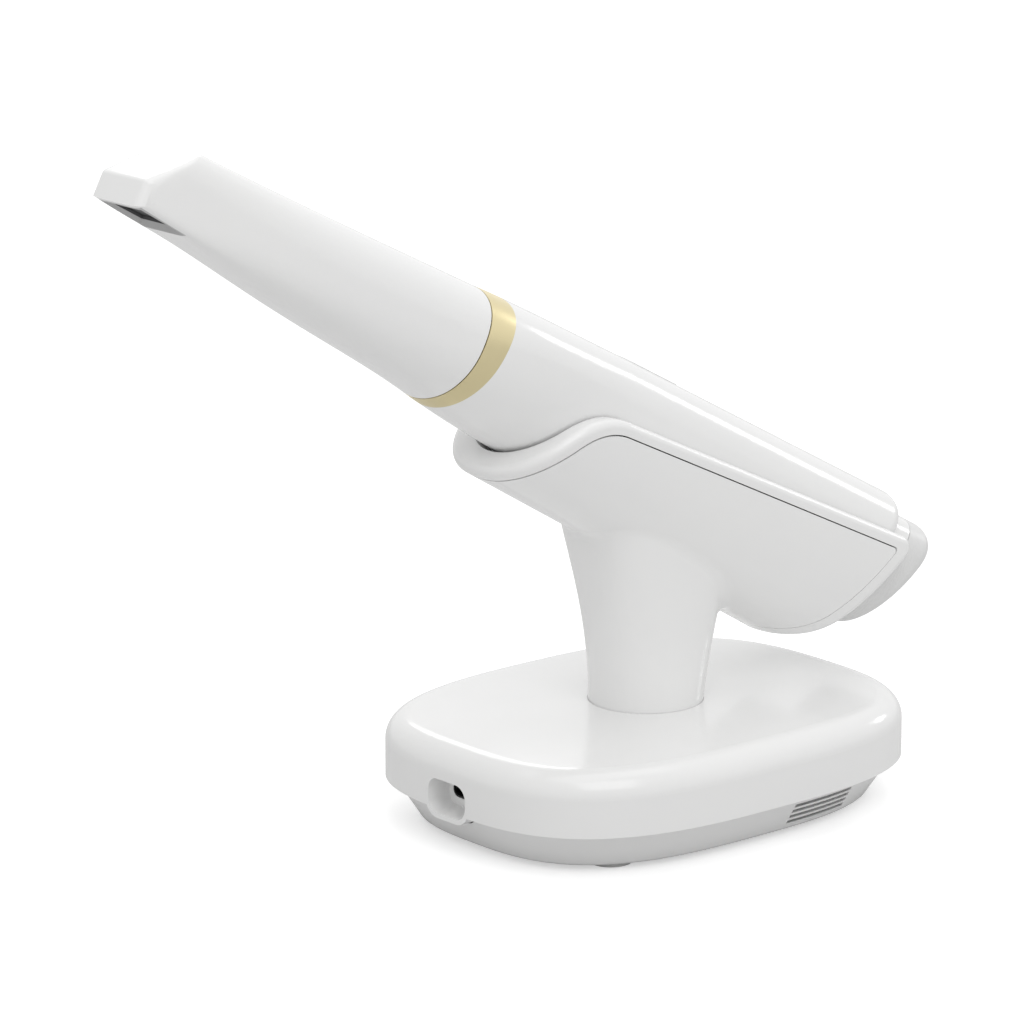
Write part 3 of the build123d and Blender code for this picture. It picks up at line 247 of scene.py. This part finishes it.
def milled_metal(name, light, dark, dull):
    """Metal as it leaves the mill: grey, with a fine grain drawn along X."""
    finish, tree, shader, place = new_finish(name)
    drawn = add_node(tree, "Mapping", {"Vector": place, "Scale": (0.06, 1, 1)})
    grain = add_node(tree, "TexNoise", {"Vector": drawn.outputs["Vector"], "Scale": 1 / (0.5 * MM),
                                        "Detail": 3})
    tint = add_node(tree, "Mix", {"Factor": grain.outputs["Fac"], "A": colour(light), "B": colour(dark)},
                    data_type="RGBA")
    gloss = add_node(tree, "MapRange", {"Value": grain.outputs["Fac"], "To Min": dull, "To Max": dull + 0.14})
    skin = add_node(tree, "Bump", {"Height": grain.outputs["Fac"], "Distance": 0.006 * MM})
    tree.links.new(tint.outputs["Result"], shader.inputs["Base Color"])
    tree.links.new(gloss.outputs["Result"], shader.inputs["Roughness"])
    tree.links.new(skin.outputs["Normal"], shader.inputs["Normal"])
    shader.inputs["Metallic"].default_value = 1
    return finish


def gold_plating():
    """Hard gold over nickel on the contacts: warm and bright, rubbed dull in patches."""
    finish, tree, shader, place = new_finish("gold_plating")
    rub = add_node(tree, "TexNoise", {"Vector": place, "Scale": 1 / (0.8 * MM), "Detail": 3})
    tint = add_node(tree, "Mix", {"Factor": rub.outputs["Fac"], "A": colour("E8C778"),
                                  "B": colour("D6AE5C")}, data_type="RGBA")
    gloss = add_node(tree, "MapRange", {"Value": rub.outputs["Fac"], "To Min": 0.14, "To Max": 0.30})
    tree.links.new(tint.outputs["Result"], shader.inputs["Base Color"])
    tree.links.new(gloss.outputs["Result"], shader.inputs["Roughness"])
    shader.inputs["Metallic"].default_value = 1
    return finish


def coated_glass():
    """Optical glass with an anti-reflection coat: clear, with a faint blue cast that varies over the coat."""
    finish, tree, shader, place = new_finish("coated_glass")
    coat = add_node(tree, "TexNoise", {"Vector": place, "Scale": 1 / (8 * MM), "Detail": 1})
    tint = add_node(tree, "Mix", {"Factor": coat.outputs["Fac"], "A": colour("DCE7F4"),
                                  "B": colour("E8EEF5")}, data_type="RGBA")
    tree.links.new(tint.outputs["Result"], shader.inputs["Base Color"])
    shader.inputs["Transmission Weight"].default_value = 1
    shader.inputs["Roughness"].default_value = 0.02
    shader.inputs["IOR"].default_value = 1.52
    return finish


def first_surface_mirror():
    """Glass with aluminium on its face: bright and almost perfect, with a trace of haze."""
    finish, tree, shader, place = new_finish("first_surface_mirror")
    haze = add_node(tree, "TexNoise", {"Vector": place, "Scale": 1 / (5 * MM), "Detail": 2})
    tint = add_node(tree, "Mix", {"Factor": haze.outputs["Fac"], "A": colour("E2E5E8"),
                                  "B": colour("D8DCE1")}, data_type="RGBA")
    gloss = add_node(tree, "MapRange", {"Value": haze.outputs["Fac"], "To Min": 0.02, "To Max": 0.06})
    tree.links.new(tint.outputs["Result"], shader.inputs["Base Color"])
    tree.links.new(gloss.outputs["Result"], shader.inputs["Roughness"])
    shader.inputs["Metallic"].default_value = 1
    return finish


def green_solder_mask():
    """Epoxy board under solder mask: glossy green, with the glass weave just showing."""
    finish, tree, shader, place = new_finish("green_solder_mask")
    # A board's weave is about 0.5 mm: drawn at 1 mm so that it shows
    warp = add_node(tree, "TexWave", {"Vector": place, "Scale": WAVE_PERIOD / MM, "Distortion": 0.5},
                    bands_direction="X")
    weft = add_node(tree, "TexWave", {"Vector": place, "Scale": WAVE_PERIOD / MM, "Distortion": 0.5},
                    bands_direction="Y")
    weave = add_node(tree, "Math", {0: warp.outputs["Fac"], 1: weft.outputs["Fac"]}, operation="MULTIPLY")
    tint = add_node(tree, "Mix", {"Factor": weave.outputs["Value"], "A": colour("0E4A2C"),
                                  "B": colour("176640")}, data_type="RGBA")
    pool = add_node(tree, "TexNoise", {"Vector": place, "Scale": 1 / (3 * MM), "Detail": 2})
    gloss = add_node(tree, "MapRange", {"Value": pool.outputs["Fac"], "To Min": 0.24, "To Max": 0.40})
    skin = add_node(tree, "Bump", {"Height": weave.outputs["Value"], "Distance": 0.01 * MM})
    tree.links.new(tint.outputs["Result"], shader.inputs["Base Color"])
    tree.links.new(gloss.outputs["Result"], shader.inputs["Roughness"])
    tree.links.new(skin.outputs["Normal"], shader.inputs["Normal"])
    shader.inputs["IOR"].default_value = 1.55
    return finish


def frosted_acrylic():
    """Acrylic light pipe with a blasted face: milky, pale blue, finely grained."""
    finish, tree, shader, place = new_finish("frosted_acrylic")
    cloud = add_node(tree, "TexNoise", {"Vector": place, "Scale": 1 / (6 * MM), "Detail": 2})
    tint = add_node(tree, "Mix", {"Factor": cloud.outputs["Fac"], "A": colour("D6E6EE"),
                                  "B": colour("CADDE8")}, data_type="RGBA")
    grain = add_node(tree, "TexNoise", {"Vector": place, "Scale": 1 / (0.4 * MM), "Detail": 2})
    gloss = add_node(tree, "MapRange", {"Value": grain.outputs["Fac"], "To Min": 0.32, "To Max": 0.46})
    skin = add_node(tree, "Bump", {"Height": grain.outputs["Fac"], "Distance": 0.015 * MM})
    tree.links.new(tint.outputs["Result"], shader.inputs["Base Color"])
    tree.links.new(gloss.outputs["Result"], shader.inputs["Roughness"])
    tree.links.new(skin.outputs["Normal"], shader.inputs["Normal"])
    shader.inputs["IOR"].default_value = 1.49
    shader.inputs["Subsurface Weight"].default_value = 0.3
    shader.inputs["Subsurface Radius"].default_value = (2 * MM, 2 * MM, 2 * MM)
    return finish


finishes = {
    "white_plastic": glossy_white_abs(),
    "button_plastic": satin_white_abs(),
    "gold_ring": champagne_anodised_aluminium(),
    "rubber": grey_silicone_rubber(),
    "dark_plastic": filled_nylon("dark_grey_nylon", "3C3D3F", "313234", 0.48),
    "black_plastic": filled_nylon("black_nylon", "18181A", "111112", 0.40),
    "bench_metal": milled_metal("milled_aluminium", "C6C8CA", "B2B4B7", 0.28),
    "steel": milled_metal("plain_steel", "A8A9AB", "8C8E90", 0.26),
    "contact_metal": gold_plating(),
    "clear_glass": coated_glass(),
    "mirror": first_surface_mirror(),
    "board": green_solder_mask(),
    "light_plastic": frosted_acrylic(),
}
own_finishes = {"scan_tip": tip_abs_with_painted_shade(), "battery_cap": ribbed_white_abs()}

for entry in frame["record"]["subparts"]:
    surface = nodes[entry["node"]].data.materials
    surface.clear()
    surface.append(own_finishes.get(entry["node"], finishes[entry["material_slot"]]))


# Pieces of the scene: copies of two solids with softer edges

def copy_of(node, name):
    """A copy of a solid with its doubled points merged: active, in Object mode, nothing selected in it."""
    bpy.ops.object.select_all(action="DESELECT")
    nodes[node].select_set(True)
    bpy.context.view_layer.objects.active = nodes[node]
    bpy.ops.object.duplicate()
    piece = bpy.context.object
    piece.name = name
    bpy.ops.object.mode_set(mode="EDIT")
    bpy.ops.mesh.select_all(action="SELECT")
    bpy.ops.mesh.remove_doubles(threshold=0.001 * MM)
    bpy.ops.mesh.select_all(action="DESELECT")
    bpy.ops.object.mode_set(mode="OBJECT")
    return piece


# Scan button's cap: a softer rim, and its top almost level with the housing
CAP_DROP = 0.55 * MM
CAP_TOP_DEPTH = 1 * MM
CAP_RIM = 0.15 * MM
CAP_EDGE_ANGLE = math.radians(40)

cap = copy_of("scan_button", "scan_button_cap")
cap_top = max(scanner_up.dot(v.co) for v in cap.data.vertices)
for vertex in cap.data.vertices:
    vertex.select = scanner_up.dot(vertex.co) > cap_top - CAP_TOP_DEPTH
bpy.ops.object.mode_set(mode="EDIT")
bpy.ops.transform.translate(value=-CAP_DROP * scanner_up)
bpy.ops.object.mode_set(mode="OBJECT")
rim = cap.modifiers.new("rim", "BEVEL")
rim.width = CAP_RIM
rim.segments = 3
rim.angle_limit = CAP_EDGE_ANGLE
bpy.ops.object.modifier_apply(modifier="rim")
bpy.ops.object.shade_smooth_by_angle(angle=CAP_EDGE_ANGLE)
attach(cap, "button")
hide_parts("scan_button")

# Scan tip's shell: the side edges of its nose rounded
NOSE_X = -99.2 * MM
NOSE_HALF_WIDTH = 9.3 * MM
NOSE_ROUND = 2.4 * MM
NOSE_FADE = 6 * MM
NOSE_CUTS = 6
NOSE_EDGE_ANGLE = math.radians(30)

shell = copy_of("scan_tip", "scan_tip_shell")
bpy.ops.mesh.customdata_custom_splitnormals_clear()
nose_front = Vector((SCAN_X, 0, SCAN_Z)) + NOSE_X * scanner_back
# Cuts near the sides give the flat front points to bend at
for step in range(NOSE_CUTS):
    for side in (-1, 1):
        cut = side * (NOSE_HALF_WIDTH - NOSE_ROUND * math.cos(math.pi / 2 * step / NOSE_CUTS))
        bpy.ops.object.mode_set(mode="EDIT")
        bpy.ops.mesh.select_all(action="DESELECT")
        bpy.ops.object.mode_set(mode="OBJECT")
        for face in shell.data.polygons:
            face.select = scanner_back.dot(face.center - nose_front) < NOSE_FADE
        bpy.ops.object.mode_set(mode="EDIT")
        bpy.ops.mesh.bisect(plane_co=(0, cut, 0), plane_no=(0, 1, 0))
        bpy.ops.object.mode_set(mode="OBJECT")
# Towards each side the front moves back along an arc, and less so with the distance behind it
for vertex in shell.data.vertices:
    depth = scanner_back.dot(vertex.co - nose_front)
    past = min(abs(vertex.co.y) - (NOSE_HALF_WIDTH - NOSE_ROUND), NOSE_ROUND)
    if depth < NOSE_FADE and past > 0:
        drop = NOSE_ROUND - math.sqrt(NOSE_ROUND ** 2 - past ** 2)
        vertex.co += scanner_back * drop * (1 - depth / NOSE_FADE)
bpy.ops.object.shade_smooth_by_angle(angle=NOSE_EDGE_ANGLE)
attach(shell, "tip")
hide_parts("scan_tip")


# Camera, where the photograph was taken from

CAMERA_TURN = math.radians(40.035)
CAMERA_DROP = math.radians(14.53)
CAMERA_DISTANCE = 1.2
AIM_SIDE = -32.10 * MM
AIM_HEIGHT = 72.5 * MM

across = Vector((math.cos(CAMERA_TURN), -math.sin(CAMERA_TURN), 0))
ahead = Vector((
    math.sin(CAMERA_TURN) * math.cos(CAMERA_DROP),
    math.cos(CAMERA_TURN) * math.cos(CAMERA_DROP),
    -math.sin(CAMERA_DROP),
))
aim = across * AIM_SIDE + Vector((0, 0, AIM_HEIGHT))

lens = bpy.data.cameras.new("camera")
lens.lens = 177.19
lens.sensor_width = 36
camera = bpy.data.objects.new("camera", lens)
camera.location = aim - ahead * CAMERA_DISTANCE
camera.rotation_euler = ahead.to_track_quat("-Z", "Y").to_euler()
bpy.context.scene.collection.objects.link(camera)
bpy.context.scene.camera = camera


# Studio: white background, pale floor and soft lamps

def seen_directly(tree):
    """1 for rays from the camera, off gloss and through glass, which see the white background."""
    path = add_node(tree, "LightPath", {})
    open_view = add_node(tree, "Math", {0: path.outputs["Is Camera Ray"], 1: path.outputs["Is Glossy Ray"]},
                         operation="MAXIMUM")
    view = add_node(tree, "Math", {0: open_view.outputs["Value"], 1: path.outputs["Is Transmission Ray"]},
                    operation="MAXIMUM")
    return view.outputs["Value"]


bpy.context.scene.view_settings.view_transform = "Standard"

world = bpy.data.worlds.new("studio")
bpy.context.scene.world = world
world.use_nodes = True
sky = world.node_tree
soft_light = add_node(sky, "Background", {"Color": colour("FFFFFF"), "Strength": 0.60})
white = add_node(sky, "Background", {"Color": colour("FFFFFF"), "Strength": 1})
backdrop = add_node(sky, "MixShader", {0: seen_directly(sky), 1: soft_light.outputs[0], 2: white.outputs[0]})
sky.links.new(backdrop.outputs[0], sky.nodes["World Output"].inputs["Surface"])


def soft_box(name, place, target, width, height, power):
    """A rectangular soft lamp turned to a point."""
    box = bpy.data.lights.new(name, "AREA")
    box.shape = "RECTANGLE"
    box.size = width
    box.size_y = height
    box.energy = power
    lamp = bpy.data.objects.new(name, box)
    lamp.location = place
    lamp.rotation_euler = (Vector(target) - Vector(place)).to_track_quat("-Z", "Y").to_euler()
    bpy.context.scene.collection.objects.link(lamp)


soft_box("overhead", (0, 0.1, 1.3), (0, 0, 0.1), 1.4, 1.0, 3.5)
soft_box("front_above", (-0.4, -0.95, 1.17), (0, 0, 0.1), 1.0, 1.0, 5.6)
soft_box("back_above", (0.97, 1.16, 1.0), (-0.03, 0, 0.03), 0.95, 0.57, 3.6)
soft_box("rear_side", (1.95, -0.17, 0.70), (0, 0, 0.1), 0.35, 0.3, 2)

bpy.ops.object.select_all(action="DESELECT")
bpy.ops.mesh.primitive_plane_add(size=6)
floor = bpy.context.object
floor.name = "floor"
paper = bpy.data.materials.new("pale_paper")
paper.use_nodes = True
sheet = paper.node_tree
matt = sheet.nodes["Principled BSDF"]
matt.inputs["Base Color"].default_value = colour("D9D9D9")
matt.inputs["Roughness"].default_value = 0.9
glow = add_node(sheet, "Emission", {"Color": colour("FFFFFF"), "Strength": 0.5})
dark = add_node(sheet, "Emission", {"Strength": 0})
# Only the camera sees the glow that makes the paper white
rays = add_node(sheet, "LightPath", {})
seen_glow = add_node(sheet, "MixShader", {0: rays.outputs["Is Camera Ray"], 1: dark.outputs[0],
                                          2: glow.outputs[0]})
pale = add_node(sheet, "AddShader", {0: matt.outputs[0], 1: seen_glow.outputs[0]})
sheet.links.new(pale.outputs[0], sheet.nodes["Material Output"].inputs["Surface"])
floor.data.materials.append(paper)
